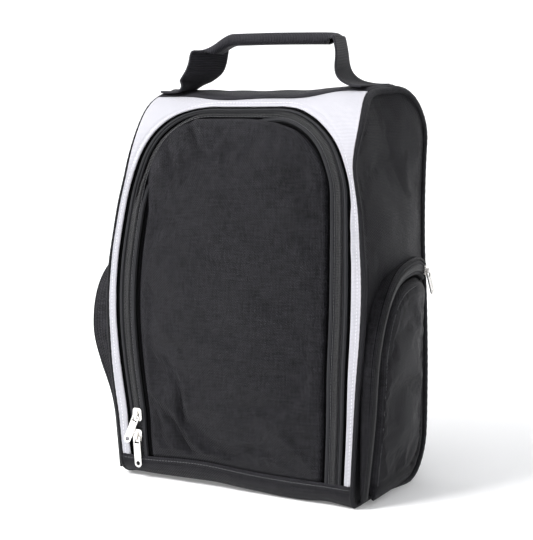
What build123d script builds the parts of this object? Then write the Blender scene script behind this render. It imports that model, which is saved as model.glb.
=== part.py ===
"""Golf shoe bag: a zipped cloth carrier with a fold-down front door, two zipped side pockets and a handle.

Millimetres. +Z is up, the door faces -Y and the origin is the middle of the base panel.
Every panel is a band between two insets of one closed side section, so that the layers nest face to face.
"""

import os
from math import cos, radians, sin

from build123d import *

os.makedirs("parts", exist_ok=True)

# ---------------------------------------------------------------- driving dimensions
WIDTH = 234.0            # across the outer faces of the two side panels
DEPTH = 130.0            # front face to back face
HEIGHT = 336.0           # base to the flat top, without the handle
HALF_W = WIDTH / 2
FRONT_Y, BACK_Y = -DEPTH / 2, DEPTH / 2
FRONT_TOP_R = 65.0       # corner radii of the side section
BACK_TOP_R = 44.0
BACK_BASE_R = 40.0
FRONT_BASE_R = 12.0

FABRIC = 1.2             # outer woven cloth
FOAM = 2.2               # padding sheet behind it
LINING = 0.8             # inner cloth
SKIN = FABRIC + FOAM     # depth at which the lining starts
WALL = SKIN + LINING

ZIP_X = 95.5             # main zip centreline, left and right legs
ZIP_CORNER_X = 30.0      # middle of the elliptical top corners
ZIP_CORNER_Z = 256.0
ZIP_TOP_ARC = 57.5       # run of the zip centreline up the rounded front shoulder
SEAM_Z = 20.0            # seam between the base panel and the door
FOLD_Z = 69.0            # the door folds here, just above the parked sliders
FOLD_GAP = 0.3
TAPE_OUT = 10.5          # edge of the outer zip tape, from the centreline
TAPE_IN = 9.0            # edge of the inner zip tape
TAPE_TOP, TAPE_T = 0.3, 0.8
COIL_GAP, COIL_EDGE = 0.5, 2.6
COIL_T = 2.4
COIL_MID = TAPE_TOP + TAPE_T / 2
COIL_TOP = COIL_MID - COIL_T / 2
LINING_EDGE = 8.0        # the lining stops this far outside the zip centreline

PIPING_R = 2.2
BINDING_W, BINDING_T = 8.0, 0.8

STRIP_Y0, STRIP_Y1 = -24.0, 16.0   # webbing strip across the top
STRIP_T = 1.8
TOP_SEAM_Y = -4.0        # the white yoke meets the back panel under the strip
WEB_W = 38.0             # handle webbing
WEB_Y = (STRIP_Y0 + STRIP_Y1) / 2
GRIP_L, GRIP_W, GRIP_T = 132.0, 19.0, 10.0
GRIP_Z = 383.0
ANCHOR_X0, ANCHOR_X1 = 84.0, 113.0
LEG_END_X = 92.0
LEG_BEND_R, LEG_LEAN, LEG_GAP = 11.0, 5.0, 0.1

MAIN_UPPER_Z, MAIN_LOWER_Z = 57.5, 38.5    # parked slider centres
UPPER_PULL_TILT, LOWER_PULL_TILT = 24.0, -4.0

# Side pocket. Its zip lies in one tilted plane through the foot of the leg and the end of the arc.
POCKET_FOOT = (119.5, -52.0, 22.0)
POCKET_SHOULDER = (129.0, -52.0, 114.0)
POCKET_BACK = (122.5, 61.0, 184.0)
POCKET_CORNER = (119.0, 62.0, 18.0)
POCKET_R = 76.0
POCKET_END_ANGLE = 60.5          # end of the zip tape, measured round the arc
POCKET_SLIDER_ANGLE = 67.0       # parked slider
POCKET_FOLD_ANGLE = 74.0         # upper end of the pocket flap's fold
POCKET_FOLD_V = 4.0              # lower end of the fold, up the leg
FLAP_ZIP_GAP = 3.2               # the flap's half zip stops this far from the fold, so it can turn
POCKET_TAPE = 8.0
POCKET_PANEL_T = 2.5
POCKET_WALL_T = 1.5
POCKET_EDGE = 4.8                # pocket pieces stay this far inside the side section
POCKET_PULL_TURN = -35.0         # the parked pull hangs down, not along the zip
POCKET_PULL_TILT = -8.0          # and clear of the leaning pocket
POCKET_OVERRUN, POCKET_REACH = 30.0, 40.0     # pocket shapes run on past the body, and are trimmed to it
REACH = 200.0                    # further than any part of the bag


# ---------------------------------------------------------------- shared shapes
def side_section(inset):
    """The closed side outline in the YZ plane, moved inwards by inset."""
    y0, y1 = FRONT_Y + inset, BACK_Y - inset
    z0, z1 = inset, HEIGHT - inset
    corners = [(y0, z0), (y0, z1), (y1, z1), (y1, z0)]
    radii = [r - inset for r in (FRONT_BASE_R, FRONT_TOP_R, BACK_TOP_R, BACK_BASE_R)]
    outline = Pos((y0 + y1) / 2, (z0 + z1) / 2) * Rectangle(y1 - y0, z1 - z0)
    for (y, z), r in zip(corners, radii):
        corner = outline.vertices().sort_by_distance((y, z, 0))[0]
        outline = fillet(corner, r)
    return outline


def slab(inset, x0, x1):
    """The side section at this inset, solid from x0 to x1."""
    return extrude(Plane.YZ.offset(x0) * side_section(inset), x1 - x0)


def band(outer, inner, x0, x1):
    """The wall between two insets, all the way round the section."""
    return slab(outer, x0, x1) - slab(inner, x0, x1)


def block(x0, x1, y0, y1, z0, z1):
    return Pos((x0 + x1) / 2, (y0 + y1) / 2, (z0 + z1) / 2) * Box(x1 - x0, y1 - y0, z1 - z0)


def door_top_z(offset):
    """Height of the door outline's top edge, offset along the rounded shoulder."""
    return HEIGHT - FRONT_TOP_R + FRONT_TOP_R * sin((ZIP_TOP_ARC + offset) / FRONT_TOP_R)


def door_outline(offset, bottom=SEAM_Z):
    """The door's arched outline in the XZ plane, offset from the zip centreline."""
    x, top = ZIP_X + offset, door_top_z(offset)
    rx, rz = x - ZIP_CORNER_X, top - ZIP_CORNER_Z
    right = EllipticalCenterArc((ZIP_CORNER_X, ZIP_CORNER_Z), rx, rz, start_angle=0, arc_size=90)
    left = EllipticalCenterArc((-ZIP_CORNER_X, ZIP_CORNER_Z), rx, rz, start_angle=90, arc_size=90)
    legs = Polyline((-x, ZIP_CORNER_Z), (-x, bottom), (x, bottom), (x, ZIP_CORNER_Z))
    ridge = Line((ZIP_CORNER_X, top), (-ZIP_CORNER_X, top))
    return make_face([legs, right, ridge, left])


def door_prism(offset, bottom=SEAM_Z):
    """The door outline pushed through the front of the bag."""
    return extrude(Plane.XZ * door_outline(offset, bottom), 2 * DEPTH)


def door_ring(outer, inner):
    """The strip between two offsets of the door outline."""
    return door_prism(outer) - door_prism(inner, SEAM_Z - 1)


BELOW_FOLD = block(-HALF_W, HALF_W, FRONT_Y - 9, 0, SEAM_Z, FOLD_Z - FOLD_GAP)
ABOVE_FOLD = block(-HALF_W, HALF_W, FRONT_Y - 9, 20, FOLD_Z + FOLD_GAP, HEIGHT)


def save(shape, node):
    export_step(shape, f"parts/{node}.step")


def save_pair(shape, name):
    """Writes the right-hand piece and its mirror image."""
    save(shape, f"right_{name}")
    save(mirror(shape, Plane.YZ), f"left_{name}")


# ---------------------------------------------------------------- body panels
def base_region(reach=HALF_W):
    """Everything below the base panel's two upper seams."""
    front = block(-reach, reach, FRONT_Y - 1, 0, -1, SEAM_Z)
    back = block(-reach, reach, 0, BACK_Y + 1, -1, BACK_BASE_R + 4)
    return front + back


def yoke_region(reach=HALF_W):
    return block(-reach, reach, FRONT_Y - 1, TOP_SEAM_Y, SEAM_Z, HEIGHT + 1)


def back_region(reach=HALF_W):
    top = block(-reach, reach, TOP_SEAM_Y, BACK_Y + 1, HEIGHT / 2, HEIGHT + 1)
    rear = block(-reach, reach, 1, BACK_Y + 1, BACK_BASE_R + 4, HEIGHT / 2)
    return top + rear


def body_panels():
    cloth = band(0, FABRIC, -HALF_W + FABRIC, HALF_W - FABRIC)
    save(cloth & base_region(), "base_panel")
    save(cloth & back_region(), "back_panel")
    save((cloth & yoke_region()) - door_prism(TAPE_OUT, SEAM_Z - 1), "front_yoke")
    save_pair(slab(0, HALF_W - FABRIC, HALF_W), "side_panel")


def body_foam():
    foam = band(FABRIC, SKIN, -HALF_W + SKIN, HALF_W - SKIN)
    save(foam & base_region(), "base_foam")
    save(foam & back_region(), "back_foam")
    save((foam & yoke_region()) - door_prism(TAPE_OUT, SEAM_Z - 1), "yoke_foam")
    save_pair(slab(FABRIC, HALF_W - SKIN, HALF_W - FABRIC), "side_foam")


def body_lining():
    reach = HALF_W - SKIN
    shell = slab(SKIN, -reach, reach) - slab(WALL, -reach + LINING, reach - LINING)
    save(shell - door_prism(LINING_EDGE, SEAM_Z), "body_lining")
    inner = HALF_W - WALL
    binding = band(WALL, WALL + BINDING_T, inner - BINDING_W, inner)
    save_pair(binding, "seam_binding")


def piping():
    """A half-round corded seam round the rim of each side panel."""
    path = (Plane.YZ.offset(HALF_W) * side_section(PIPING_R)).face().outer_wire()
    start = path @ 0
    profile_plane = Plane(origin=start, x_dir=(1, 0, 0), z_dir=path % 0)
    half_round = Circle(PIPING_R) & Pos(PIPING_R, 0) * Rectangle(2 * PIPING_R, 2 * PIPING_R)
    save_pair(sweep(profile_plane * half_round, path, is_frenet=False), "piping")


# ---------------------------------------------------------------- main zip and door
def front_band(top, bottom):
    """A layer of the front and shoulder, wide enough for the whole door."""
    layer = band(top, bottom, -HALF_W + FABRIC, HALF_W - FABRIC)
    return layer & block(-HALF_W, HALF_W, FRONT_Y - 9, -1, 0, HEIGHT + 9)


def main_zip():
    tape = front_band(TAPE_TOP, TAPE_TOP + TAPE_T)
    coil = front_band(COIL_TOP, COIL_TOP + COIL_T)
    outer_tape, inner_tape = door_ring(TAPE_OUT, COIL_EDGE), door_ring(-COIL_EDGE, -TAPE_IN)
    outer_coil, inner_coil = door_ring(COIL_EDGE, COIL_GAP), door_ring(-COIL_GAP, -COIL_EDGE)
    save(tape & outer_tape, "main_zip_outer_tape")
    save(coil & outer_coil, "main_zip_outer_coil")
    inner_tape, inner_coil = tape & inner_tape, coil & inner_coil
    save(inner_tape & BELOW_FOLD, "door_base_tape")
    save(inner_coil & BELOW_FOLD, "door_base_coil")
    save(inner_tape & ABOVE_FOLD, "door_tape")
    save(inner_coil & ABOVE_FOLD, "door_coil")


def door():
    cloth = front_band(0, FABRIC) & door_prism(-TAPE_IN)
    foam = front_band(FABRIC, SKIN) & door_prism(-TAPE_IN - 2)
    lining = front_band(SKIN, WALL) & door_prism(-TAPE_IN)
    for layer, name in ((cloth, "panel"), (foam, "foam"), (lining, "lining")):
        save(layer & BELOW_FOLD, f"door_base_{name}")
        save(layer & ABOVE_FOLD, f"door_{name}")


# ---------------------------------------------------------------- zip sliders and pulls
PLATE_N, PLATE_T = 1.9, 1.2      # slider plates, from the coil's mid plane
PLATE_CORNER_R = 2.4
SLIDER_L, SLIDER_NOSE, SLIDER_TAIL = 11.5, 9.8, 8.4
FLANGE_N, FLANGE_T, FLANGE_L = 0.9, 1.2, 5.5
WEDGE_T, WEDGE_L, WEDGE_Y = 0.6, 3.0, 2.0     # the divider between the two coils
BRIDGE_W, BRIDGE_L, BRIDGE_TOP, BRIDGE_R = 2.0, 6.8, 5.7, 1.2
BRIDGE_SLOT_L, BRIDGE_SLOT_TOP = 5.0, 4.8
PIN_SHIFT, PIN_N, PIN_R = 1.2, 4.0, 0.6
PULL_W, PULL_T = 7.0, 1.2
MAIN_PULL_L, POCKET_PULL_L = 27.0, 25.0
PULL_NECK, PULL_ARM_W = 5.5, 1.2
PULL_HOLE_R, PULL_HOLE_SHIFT = 1.9, 0.2
PULL_RECESS_W, PULL_RECESS_D, PULL_RECESS_MARGIN = 3.6, 0.3, 5.0


def slider_body():
    """One slider in its own frame: the zip runs along Y, the outer face is +Z."""
    half = SLIDER_L / 2
    shield = Polygon(
        (-SLIDER_TAIL / 2, -half), (SLIDER_TAIL / 2, -half),
        (SLIDER_NOSE / 2, half), (-SLIDER_NOSE / 2, half), align=None)
    shield = fillet(shield.vertices(), PLATE_CORNER_R)
    plate = extrude(shield, PLATE_T)
    body = Pos(0, 0, PLATE_N) * plate + Pos(0, 0, -PLATE_N - PLATE_T) * plate
    rim_x = SLIDER_TAIL / 2 - FLANGE_T / 2
    lip = Box(FLANGE_T, FLANGE_L, PLATE_N - FLANGE_N)
    for side in (-1, 1):
        for level in (-1, 1):
            body += Pos(side * rim_x, 0, level * (PLATE_N + FLANGE_N) / 2) * lip
    body += Pos(0, WEDGE_Y, 0) * Box(WEDGE_T, WEDGE_L, 2 * PLATE_N)
    root, floor = PLATE_N + PLATE_T / 2, PLATE_N + PLATE_T
    bridge = Pos(0, 0, (root + BRIDGE_TOP) / 2) * Box(BRIDGE_W, BRIDGE_L, BRIDGE_TOP - root)
    bridge = fillet(bridge.edges().filter_by(Axis.X).group_by(Axis.Z)[-1], BRIDGE_R)
    slot = Box(2 * BRIDGE_W, BRIDGE_SLOT_L, BRIDGE_SLOT_TOP - floor)
    return body + (bridge - Pos(0, 0, (floor + BRIDGE_SLOT_TOP) / 2) * slot)


def pull_tab(length, with_hole):
    """A pull in its own frame: the pin lies along X at the origin and the tab hangs along -Y."""
    half = PULL_W / 2
    blade = Pos(0, -(PULL_NECK + length - half) / 2) * Rectangle(PULL_W, length - half - PULL_NECK)
    blade += Pos(0, -length + half) * Circle(half)
    if with_hole:
        blade -= Pos(0, -length + half + PULL_HOLE_SHIFT) * Circle(PULL_HOLE_R)
    tab = extrude(blade, PULL_T / 2, both=True)
    arm = extrude(Rectangle(PULL_ARM_W, PULL_NECK + PIN_R), PULL_T / 2, both=True)
    for side in (-1, 1):
        tab += Pos(side * (half - PULL_ARM_W / 2), (PIN_R - PULL_NECK) / 2) * arm
    tab += Rot(0, 90, 0) * Cylinder(PIN_R, PULL_W - 0.2)
    if not with_hole:
        groove = SlotOverall(length - PULL_NECK - PULL_RECESS_MARGIN, PULL_RECESS_W, rotation=90)
        recess = extrude(Pos(0, -(length + PULL_NECK) / 2) * groove, PULL_T)
        tab -= Pos(0, 0, PULL_T / 2 - PULL_RECESS_D) * recess
    return tab


def slider_set(seat, nose, hang, turn, pull):
    """A slider and its pull on the given plane (X across the zip, Y along it, Z outwards).

    nose and hang are +1 or -1: the way along Y that the slider points, and that its pull hangs.
    """
    body = seat.location * Rot(0, 0, 90 - 90 * nose) * slider_body()
    hook = Pos(0, hang * PIN_SHIFT, PIN_N) * Rot(0, 0, 90 + 90 * hang + turn)
    return body, seat.location * hook * pull


def main_sliders():
    pull_shape = pull_tab(MAIN_PULL_L, True)
    parked = (("upper", MAIN_UPPER_Z, -1, UPPER_PULL_TILT), ("lower", MAIN_LOWER_Z, 1, LOWER_PULL_TILT))
    for name, z, nose, turn in parked:
        seat = Plane(origin=(-ZIP_X, FRONT_Y + COIL_MID, z), x_dir=(1, 0, 0), z_dir=(0, -1, 0))
        body, pull = slider_set(seat, nose, -1, -turn, pull_shape)
        save(body, f"main_{name}_slider")
        save(pull, f"main_{name}_pull")


# ---------------------------------------------------------------- side pockets
def pocket_plane():
    """Origin at the foot of the leg, Y up the leg, X towards the back, Z outwards."""
    foot, shoulder, back = Vector(*POCKET_FOOT), Vector(*POCKET_SHOULDER), Vector(*POCKET_BACK)
    up = (shoulder - foot).normalized()
    out = (back - foot).cross(up).normalized()
    return Plane(origin=foot, x_dir=up.cross(out), z_dir=out)


POCKET = pocket_plane()
POCKET_LEG = (Vector(*POCKET_SHOULDER) - Vector(*POCKET_FOOT)).length


def arc_point(angle, radius=POCKET_R):
    """A point of the pocket's arc, in the pocket plane."""
    return (POCKET_R + radius * cos(radians(angle)), POCKET_LEG + radius * sin(radians(angle)))


def pocket_shape(offset):
    """The pocket's D shape in its own plane, offset from the zip centreline."""
    r = POCKET_R + offset
    arc = CenterArc((POCKET_R, POCKET_LEG), r, POCKET_END_ANGLE, 180 - POCKET_END_ANGLE)
    floor, back = -POCKET_OVERRUN, 2 * POCKET_R + POCKET_OVERRUN
    rim = Polyline((-offset, POCKET_LEG), (-offset, floor), (back, floor), arc_point(POCKET_END_ANGLE, r))
    return make_face([arc, rim])


def pocket_layer(shape, low, high):
    return extrude(POCKET.offset(low).location * shape, high - low)


def plane_through(low, high, corner):
    """The plane of three points, facing away from the bag."""
    normal = (corner - low).cross(high - low).normalized()
    return Plane(origin=low, x_dir=(high - low).normalized(), z_dir=normal if normal.X > 0 else -normal)


def fold_ends():
    """The two ends of the pocket flap's fold, in the bag's frame."""
    x, y = arc_point(POCKET_FOLD_ANGLE)
    return POCKET.from_local_coords(Vector(0, POCKET_FOLD_V, 0)), POCKET.from_local_coords(Vector(x, y, 0))


def fold_half_plane(side, gap=FOLD_GAP):
    """The part of the pocket plane on the flap side (+1) or the fixed side (-1) of the fold."""
    x1, y1 = arc_point(POCKET_FOLD_ANGLE)
    foot = Vector(0, POCKET_FOLD_V)
    along = (Vector(x1, y1) - foot).normalized()
    across = Vector(-along.Y, along.X) * side
    near = foot + across * gap - along * REACH
    far = near + along * 2 * REACH
    corners = (near, far, far + across * REACH, near + across * REACH)
    return make_face(Polyline(*[(p.X, p.Y) for p in corners], close=True))


def pockets():
    limit = slab(POCKET_EDGE, HALF_W, HALF_W + POCKET_REACH)
    flap_side = pocket_layer(fold_half_plane(1), -POCKET_REACH, POCKET_REACH)
    flap_zip_side = pocket_layer(fold_half_plane(1, FLAP_ZIP_GAP), -POCKET_REACH, POCKET_REACH)
    fixed_side = pocket_layer(fold_half_plane(-1), -POCKET_REACH, POCKET_REACH)
    half_coil, half_tape, half_panel = COIL_T / 2, TAPE_T / 2, POCKET_PANEL_T / 2

    def ring(outer, inner, half):
        return pocket_layer(pocket_shape(outer) - pocket_shape(inner), -half, half)

    outer_tape = ring(POCKET_TAPE, COIL_EDGE, half_tape)
    outer_coil = ring(COIL_EDGE, COIL_GAP, half_coil)
    inner_coil = ring(-COIL_GAP, -COIL_EDGE, half_coil)
    inner_tape = ring(-COIL_EDGE, -POCKET_TAPE, half_tape)
    panel = pocket_layer(pocket_shape(-POCKET_TAPE), -half_panel, half_panel)
    wall = pocket_shape(POCKET_TAPE) - pocket_shape(POCKET_TAPE - POCKET_WALL_T)
    wall = pocket_layer(wall, -POCKET_REACH, -half_tape)

    save_pair(outer_tape & limit, "pocket_outer_tape")
    save_pair(outer_coil & limit, "pocket_outer_coil")
    save_pair(wall & limit, "pocket_gusset")
    save_pair(inner_coil & limit & flap_zip_side, "pocket_flap_coil")
    save_pair(inner_tape & limit & flap_zip_side, "pocket_flap_tape")
    save_pair(inner_coil & limit & fixed_side, "pocket_end_coil")
    save_pair(inner_tape & limit & fixed_side, "pocket_end_tape")
    save_pair(panel & limit & flap_side, "pocket_flap_panel")

    # The fixed half of the pocket slopes from the fold down to the base seam.
    fixed_shape = pocket_shape(-POCKET_TAPE) & fold_half_plane(-1)
    fixed_prism = pocket_layer(fixed_shape, -POCKET_REACH, POCKET_REACH)
    fold_low, fold_high = fold_ends()
    slope = plane_through(fold_low, fold_high, Vector(*POCKET_CORNER))
    slope_seat = slope.offset(-half_panel).location
    slope_sheet = extrude(slope_seat * Rectangle(4 * REACH, 4 * REACH), POCKET_PANEL_T)
    save_pair(fixed_prism & slope_sheet & limit, "pocket_lower_panel")

    angle = radians(POCKET_SLIDER_ANGLE)
    centre = POCKET.from_local_coords(Vector(*arc_point(POCKET_SLIDER_ANGLE)))
    along = POCKET.x_dir * sin(angle) - POCKET.y_dir * cos(angle)
    seat = Plane(origin=centre, x_dir=along.cross(POCKET.z_dir), z_dir=POCKET.z_dir)
    pull_shape = Rot(POCKET_PULL_TILT, 0, 0) * pull_tab(POCKET_PULL_L, False)
    body, pull = slider_set(seat, 1, 1, POCKET_PULL_TURN, pull_shape)
    save_pair(body, "pocket_slider")
    save_pair(pull, "pocket_pull")


# ---------------------------------------------------------------- handle
def handle():
    top = band(-STRIP_T, 0, -HALF_W + FABRIC, HALF_W - FABRIC)
    strip_zone = block(-HALF_W, HALF_W, STRIP_Y0, STRIP_Y1, HEIGHT / 2, HEIGHT + 9)
    save(top & strip_zone, "top_strip")
    tab = band(-2 * STRIP_T, -STRIP_T, ANCHOR_X0, ANCHOR_X1)
    web_zone = block(0, HALF_W, WEB_Y - WEB_W / 2, WEB_Y + WEB_W / 2, HEIGHT / 2, HEIGHT + 9)
    save_pair(tab & web_zone, "handle_anchor")

    end_x = GRIP_L / 2
    foot_z = HEIGHT + 2.5 * STRIP_T + LEG_GAP
    grip_foot = (end_x, GRIP_Z - GRIP_T / 2 - LEG_GAP)
    path = FilletPolyline(grip_foot, (end_x + LEG_LEAN, foot_z), (LEG_END_X, foot_z), radius=LEG_BEND_R)
    path = Plane.XZ.offset(-WEB_Y) * path
    seat = Plane(origin=path @ 0, x_dir=(0, 1, 0), z_dir=path % 0)
    save_pair(sweep(seat * Rectangle(WEB_W, STRIP_T), path), "handle_leg")

    grip = Plane.YZ.offset(-GRIP_L / 2) * Pos(WEB_Y, GRIP_Z) * SlotOverall(GRIP_W, GRIP_T)
    save(extrude(grip, GRIP_L), "handle_grip")


body_panels()
body_foam()
body_lining()
piping()
main_zip()
door()
main_sliders()
pockets()
handle()
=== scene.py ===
"""Golf shoe bag: cloth, zips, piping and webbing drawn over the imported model.

Lengths are in millimetres until a mesh is made. +Z is up and the door faces -Y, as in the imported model.
Panels are cut flat, laid on the bag's rounded section, and then settled as sewn cloth does.
"""

from math import asin, cos, pi, radians, sin, tau

import bpy
import numpy as np
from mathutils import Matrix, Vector, geometry, noise


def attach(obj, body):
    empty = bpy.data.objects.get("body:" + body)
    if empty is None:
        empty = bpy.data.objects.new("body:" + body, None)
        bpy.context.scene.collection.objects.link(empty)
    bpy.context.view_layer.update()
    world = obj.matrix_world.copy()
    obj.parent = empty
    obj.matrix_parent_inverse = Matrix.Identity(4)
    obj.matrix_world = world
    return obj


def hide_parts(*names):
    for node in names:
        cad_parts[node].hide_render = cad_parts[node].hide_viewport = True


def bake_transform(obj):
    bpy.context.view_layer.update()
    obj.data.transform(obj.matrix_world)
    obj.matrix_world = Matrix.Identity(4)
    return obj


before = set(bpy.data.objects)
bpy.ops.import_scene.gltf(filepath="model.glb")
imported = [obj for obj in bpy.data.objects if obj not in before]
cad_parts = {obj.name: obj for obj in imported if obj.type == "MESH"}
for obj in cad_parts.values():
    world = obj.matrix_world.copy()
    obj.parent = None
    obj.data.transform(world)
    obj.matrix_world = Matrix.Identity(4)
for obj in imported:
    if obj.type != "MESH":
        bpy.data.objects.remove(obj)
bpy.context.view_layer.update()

MM = 0.001

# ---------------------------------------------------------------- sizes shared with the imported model
HALF_W, HALF_D, HEIGHT = 117.0, 65.0, 336.0
FRONT_TOP_R, BACK_TOP_R, BACK_BASE_R, FRONT_BASE_R = 65.0, 44.0, 40.0, 12.0
SEAM_Z = 20.0
BACK_SEAM_Z = 44.0
ZIP_X, ZIP_CORNER_X, ZIP_CORNER_Z, ZIP_TOP_ARC = 95.5, 30.0, 256.0, 57.5
TAPE_OUT, TAPE_IN = 10.5, 9.0
COIL_DEPTH = 0.7
LINING_DEPTH = 4.1
STRIP_Y0, STRIP_Y1, TOP_SEAM_Y = -20.0, 18.0, -4.0
WEB_Y, WEB_W, WEB_COUNT, GRIP_Z = -4.0, 38.0, 31, 383.0
POCKET_FOOT, POCKET_SHOULDER, POCKET_BACK = (119.5, -52, 22), (129, -52, 114), (122.5, 61, 184)
POCKET_R, POCKET_TAPE, POCKET_END_ANGLE, POCKET_FOLD_ANGLE, POCKET_FOLD_V = 76.0, 8.0, 60.5, 74.0, 4.0
POCKET_EDGE = 4.8
SIDES = ((1, "right"), (-1, "left"))


def smooth(t):
    """Eases from 0 to 1."""
    t = np.clip(t, 0, 1)
    return t * t * (3 - 2 * t)


# ---------------------------------------------------------------- the bag's section and how it settles
FACE = HEIGHT - FRONT_TOP_R - FRONT_BASE_R                # the flat front, along the section
FACE_TOP = HEIGHT - FRONT_TOP_R
TOP_U = FACE + FRONT_TOP_R * pi / 2 + FRONT_TOP_R - HALF_D    # where y is 0 on the flat top
BACK_TOP_U = TOP_U + HALF_D - BACK_TOP_R + BACK_TOP_R * pi / 2
BACK_SEAM_U = BACK_TOP_U + HEIGHT - BACK_TOP_R - BACK_SEAM_Z


def section_table(steps=24):
    """Rows of (length along the section, y, z, outward y, outward z), from the foot of the front face."""
    rows = [(-HALF_D, FRONT_BASE_R, -1.0, 0.0)]
    corners = (
        (FRONT_TOP_R, -1, 1, 180),
        (BACK_TOP_R, 1, 1, 90),
        (BACK_BASE_R, 1, -1, 0),
        (FRONT_BASE_R, -1, -1, -90),
    )
    for r, back, up, start in corners:
        cy, cz = back * (HALF_D - r), HEIGHT - r if up > 0 else r
        for k in range(steps + 1):
            a = radians(start - 90 * k / steps)
            rows.append((cy + r * cos(a), cz + r * sin(a), cos(a), sin(a)))
    rows = np.array(rows)
    length = np.concatenate([[0], np.cumsum(np.hypot(*np.diff(rows[:, :2], axis=0).T))])
    return np.column_stack([length, rows])


SECTION = section_table()
ROUND = SECTION[-1, 0]
BASE_TOP_U = ROUND + SEAM_Z - FRONT_BASE_R


def section(u, depth=0.0):
    """(y, z) of the section at length u, moved inwards by depth."""
    y, z, ny, nz = (np.interp(np.mod(u, ROUND), SECTION[:, 0], SECTION[:, k]) for k in range(1, 5))
    return y - ny * depth, z - nz * depth


def front_u(z):
    """Length along the section of a height on the front face or its rounded shoulder."""
    z = np.asarray(z, float)
    shoulder = FACE + FRONT_TOP_R * np.arcsin(np.clip((z - FACE_TOP) / FRONT_TOP_R, 0, 1))
    return np.where(z <= FACE_TOP, z - FRONT_BASE_R, shoulder)


def top_u(y):
    """Length along the section of a place on the top."""
    return FACE + FRONT_TOP_R * np.arccos(-y / FRONT_TOP_R) if y < 0 else TOP_U + y


def arch_top(offset):
    """Height of the door's outline, offset outwards from the zip's centreline."""
    return FACE_TOP + FRONT_TOP_R * sin((ZIP_TOP_ARC + offset) / FRONT_TOP_R)


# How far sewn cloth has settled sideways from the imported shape, at some heights: (z, shift).
LEFT_EDGE = (
    (0, 5), (48, 1), (76, -2.5), (104, -6), (146, -8.5), (188, -6), (216, -1), (244, 5), (277, 14),
    (305, 18), (336, 17),
)
LEFT_ZIP = (
    (20, 2), (38, 0), (58, -1.2), (80, -4.5), (104, -8), (146, -11.5), (188, -9.5), (216, -5), (244, 1),
    (277, 8.5), (305, 4), (320, -2),
)
RIGHT_ZIP = ((20, -2), (76, 0), (104, 0.5), (160, 2.8), (216, 2.8), (277, 1), (305, 0), (320, -4))
RIGHT_EDGE = (
    (0, -7), (48, -5), (104, -2), (146, 1.2), (188, 2.2), (216, 0.5), (244, -1.5), (277, -6.5), (320, -9),
    (336, -15),
)
BACK_EDGE = ((0, 3), (60, 4.5), (150, 3), (210, 0), (290, 0.5), (320, 2), (336, 1))


def along_heights(z, pairs):
    """A smooth curve through (height, value) pairs."""
    at, value = np.array(pairs, float).T
    slope = np.gradient(value, at)
    k = np.clip(np.searchsorted(at, z, side="right") - 1, 0, len(at) - 2)
    h = at[k + 1] - at[k]
    t = np.clip((z - at[k]) / h, 0, 1)
    rise = (2 * t**3 - 3 * t**2 + 1) * value[k] + (3 * t**2 - 2 * t**3) * value[k + 1]
    return rise + h * ((t**3 - 2 * t**2 + t) * slope[k] + (t**3 - t**2) * slope[k + 1])


def settle(p):
    """Moves points as sewn cloth settles: out half way up, in at the top and foot, and down a little."""
    x, y, z = p.T
    top = arch_top(TAPE_OUT)
    drop = np.clip((z - ZIP_CORNER_Z) / (top - ZIP_CORNER_Z), 0, 0.98)
    zip_x = ZIP_CORNER_X + (ZIP_X + TAPE_OUT - ZIP_CORNER_X) * np.sqrt(1 - drop**2)
    left, right = along_heights(z, LEFT_ZIP), along_heights(z, RIGHT_ZIP)
    across = np.clip(x / zip_x, -1, 1)
    middle = left * (1 - across) / 2 + right * (1 + across) / 2
    beyond = np.clip((np.abs(x) - zip_x) / (HALF_W - zip_x), 0, 1.3)
    edge = np.where(x < 0, along_heights(z, LEFT_EDGE), along_heights(z, RIGHT_EDGE))
    front = middle * (1 - beyond) + edge * beyond
    back = along_heights(z, BACK_EDGE) * np.clip(x / HALF_W, -1.2, 1.2)
    behind = smooth((y + 25) / 75)
    high = smooth((z - 300) / 36)
    rise = 4.5 * high * smooth((x - 30) / 70) - 1.2 * high * np.exp(-(((x + 20) / 60) ** 2))
    rise += 1.5 * high * smooth((y - 5) / 10) - 7.0 * smooth((z - 284) / 44) * smooth((y - 14) / 40)
    seam = 3.2 * np.exp(-(((x + 35) / 42) ** 2)) * np.exp(-(((z - SEAM_Z) / 16) ** 2)) * smooth(-y / 30)
    foot = 2.2 * np.exp(-(((x - 88) / 16) ** 2)) + 3.4 * smooth((75 - x) / 110)
    foot *= (1 - smooth((z - 2) / 20)) * smooth((-y - 40) / 18)
    return np.column_stack([x + front * (1 - behind) + back * behind, y, z + rise + seam + foot])


def shell(x, u, depth=0.0):
    """Points on the wrapped panels, at x across and u along the section."""
    x, u, depth = np.broadcast_arrays(np.asarray(x, float), u, depth)
    y, z = section(u, depth)
    return settle(np.column_stack([x.ravel(), y.ravel(), z.ravel()]))


def door_edge(offset, foot=SEAM_Z):
    """(x, u) along the door's arched outline, offset outwards from the zip, from its left foot."""
    top = arch_top(offset)
    rx, rz = ZIP_X + offset - ZIP_CORNER_X, top - ZIP_CORNER_Z
    leg = np.column_stack([np.full(60, rx + ZIP_CORNER_X), np.linspace(foot, ZIP_CORNER_Z, 61)[:-1]])
    a = np.linspace(0, pi / 2, 40)
    corner = np.column_stack([ZIP_CORNER_X + rx * np.cos(a), ZIP_CORNER_Z + rz * np.sin(a)])
    right = np.vstack([leg, corner])
    ridge = np.column_stack([np.linspace(-ZIP_CORNER_X, ZIP_CORNER_X, 24)[1:-1], np.full(22, top)])
    left = right * (-1, 1)
    path = np.vstack([left, ridge, right[::-1]])
    return np.column_stack([path[:, 0], front_u(path[:, 1])])


# ---------------------------------------------------------------- meshes
def unit(rows):
    """Rows scaled to length 1."""
    return rows / np.maximum(np.linalg.norm(rows, axis=1), 1e-9)[:, None]


def travel(path):
    """Length along a path at each of its points."""
    return np.concatenate([[0], np.cumsum(np.linalg.norm(np.diff(path, axis=0), axis=1))])


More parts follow.
